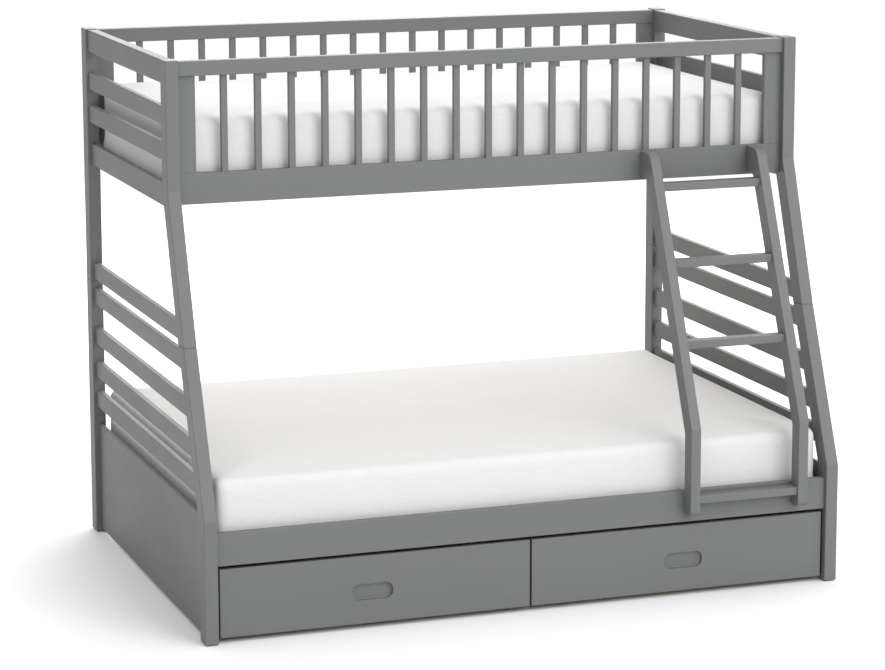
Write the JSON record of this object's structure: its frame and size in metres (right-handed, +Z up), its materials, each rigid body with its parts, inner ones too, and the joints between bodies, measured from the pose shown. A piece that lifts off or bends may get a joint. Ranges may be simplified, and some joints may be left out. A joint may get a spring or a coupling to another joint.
{
  "type": "bunk bed",
  "caption": "Painted bunk bed: a narrow slatted bed with guards over a wide bed, a leaning ladder, mattresses and rolling under-bed drawers.",
  "frame": {"origin": "on the floor, under the middle of the bounding box with the drawers shut", "axes": "+X along the bed towards the ladder, -Y out of the open front where the drawers slide, +Z up"},
  "size_m": [2.02, 1.456, 1.658],
  "materials": {
    "grey_paint": "satin sprayed paint on pine and fibreboard",
    "bare_pine": "planed, unpainted",
    "drawer_plywood": "sanded plywood",
    "zinc_steel": "zinc plated",
    "wheel_plastic": "moulded",
    "fork_plastic": "moulded",
    "glide_plastic": "moulded",
    "mattress_cover": "smooth white cotton cover"
  },
  "bodies": {
    "bed": {"barrel_nuts": "zinc_steel", "centre_beam": "bare_pine", "centre_beam_legs": "bare_pine", "foot_glides": "glide_plastic", "frame_bolts": "zinc_steel", "front_guard_top_rail": "grey_paint", "front_left_lower_leg": "grey_paint", "front_left_upper_leg": "grey_paint", "front_lower_side_rail": "grey_paint", "front_right_lower_leg": "grey_paint", "front_right_upper_leg": "grey_paint", "front_upper_side_rail": "grey_paint", "guard_slats": "grey_paint", "guard_stiles": "grey_paint", "joining_pins": "zinc_steel", "ladder_bolts": "zinc_steel", "ladder_left_stile": "grey_paint", "ladder_right_stile": "grey_paint", "ladder_treads": "grey_paint", "left_end_panel": "grey_paint", "left_end_top_rail": "grey_paint", "left_lower_end_slats": "grey_paint", "left_upper_end_boards": "grey_paint", "lower_bed_slats": "bare_pine", "lower_mattress": "mattress_cover", "rear_guard_top_rail": "grey_paint", "rear_left_lower_post": "grey_paint", "rear_left_upper_post": "grey_paint", "rear_lower_side_rail": "grey_paint", "rear_right_lower_post": "grey_paint", "rear_right_upper_post": "grey_paint", "rear_upper_side_rail": "grey_paint", "right_end_panel": "grey_paint", "right_end_top_rail": "grey_paint", "right_lower_end_slats": "grey_paint", "right_upper_end_boards": "grey_paint", "slat_cleats": "bare_pine", "slat_screws": "zinc_steel", "upper_bed_slats": "bare_pine", "upper_mattress": "mattress_cover"},
    "left_drawer": {"left_drawer_axle_pins": "zinc_steel", "left_drawer_back": "bare_pine", "left_drawer_bottom": "drawer_plywood", "left_drawer_caster_forks": "fork_plastic", "left_drawer_front": "grey_paint", "left_drawer_sides": "bare_pine"},
    "right_drawer": {"right_drawer_axle_pins": "zinc_steel", "right_drawer_back": "bare_pine", "right_drawer_bottom": "drawer_plywood", "right_drawer_caster_forks": "fork_plastic", "right_drawer_front": "grey_paint", "right_drawer_sides": "bare_pine"},
    "left_drawer_back_left_wheel": {"left_drawer_back_left_wheel": "wheel_plastic"},
    "left_drawer_back_right_wheel": {"left_drawer_back_right_wheel": "wheel_plastic"},
    "left_drawer_front_left_wheel": {"left_drawer_front_left_wheel": "wheel_plastic"},
    "left_drawer_front_right_wheel": {"left_drawer_front_right_wheel": "wheel_plastic"},
    "right_drawer_back_left_wheel": {"right_drawer_back_left_wheel": "wheel_plastic"},
    "right_drawer_back_right_wheel": {"right_drawer_back_right_wheel": "wheel_plastic"},
    "right_drawer_front_left_wheel": {"right_drawer_front_left_wheel": "wheel_plastic"},
    "right_drawer_front_right_wheel": {"right_drawer_front_right_wheel": "wheel_plastic"}
  },
  "joints": [
    {"name": "left_drawer_slide", "type": "slide", "parent": "bed", "child": "left_drawer", "axis": [0, -1, 0], "range_m": [0, 0.6]},
    {"name": "right_drawer_slide", "type": "slide", "parent": "bed", "child": "right_drawer", "axis": [0, -1, 0], "range_m": [0, 0.6]},
    {"name": "left_drawer_front_left_wheel_spin", "type": "hinge", "parent": "left_drawer", "child": "left_drawer_front_left_wheel", "pos_m": [-0.92125, -0.588, 0.02], "axis": [1, 0, 0], "continuous": true},
    {"name": "left_drawer_front_right_wheel_spin", "type": "hinge", "parent": "left_drawer", "child": "left_drawer_front_right_wheel", "pos_m": [-0.04375, -0.588, 0.02], "axis": [1, 0, 0], "continuous": true},
    {"name": "left_drawer_back_left_wheel_spin", "type": "hinge", "parent": "left_drawer", "child": "left_drawer_back_left_wheel", "pos_m": [-0.92125, -0.108, 0.02], "axis": [1, 0, 0], "continuous": true},
    {"name": "left_drawer_back_right_wheel_spin", "type": "hinge", "parent": "left_drawer", "child": "left_drawer_back_right_wheel", "pos_m": [-0.04375, -0.108, 0.02], "axis": [1, 0, 0], "continuous": true},
    {"name": "right_drawer_front_left_wheel_spin", "type": "hinge", "parent": "right_drawer", "child": "right_drawer_front_left_wheel", "pos_m": [0.04375, -0.588, 0.02], "axis": [1, 0, 0], "continuous": true},
    {"name": "right_drawer_front_right_wheel_spin", "type": "hinge", "parent": "right_drawer", "child": "right_drawer_front_right_wheel", "pos_m": [0.92125, -0.588, 0.02], "axis": [1, 0, 0], "continuous": true},
    {"name": "right_drawer_back_left_wheel_spin", "type": "hinge", "parent": "right_drawer", "child": "right_drawer_back_left_wheel", "pos_m": [0.04375, -0.108, 0.02], "axis": [1, 0, 0], "continuous": true},
    {"name": "right_drawer_back_right_wheel_spin", "type": "hinge", "parent": "right_drawer", "child": "right_drawer_back_right_wheel", "pos_m": [0.92125, -0.108, 0.02], "axis": [1, 0, 0], "continuous": true}
  ],
  "couplings": [
    {"joint": "left_drawer_front_left_wheel_spin", "follows": "left_drawer_slide", "rad_per_m": 50},
    {"joint": "left_drawer_front_right_wheel_spin", "follows": "left_drawer_slide", "rad_per_m": 50},
    {"joint": "left_drawer_back_left_wheel_spin", "follows": "left_drawer_slide", "rad_per_m": 50},
    {"joint": "left_drawer_back_right_wheel_spin", "follows": "left_drawer_slide", "rad_per_m": 50},
    {"joint": "right_drawer_front_left_wheel_spin", "follows": "right_drawer_slide", "rad_per_m": 50},
    {"joint": "right_drawer_front_right_wheel_spin", "follows": "right_drawer_slide", "rad_per_m": 50},
    {"joint": "right_drawer_back_left_wheel_spin", "follows": "right_drawer_slide", "rad_per_m": 50},
    {"joint": "right_drawer_back_right_wheel_spin", "follows": "right_drawer_slide", "rad_per_m": 50}
  ]
}
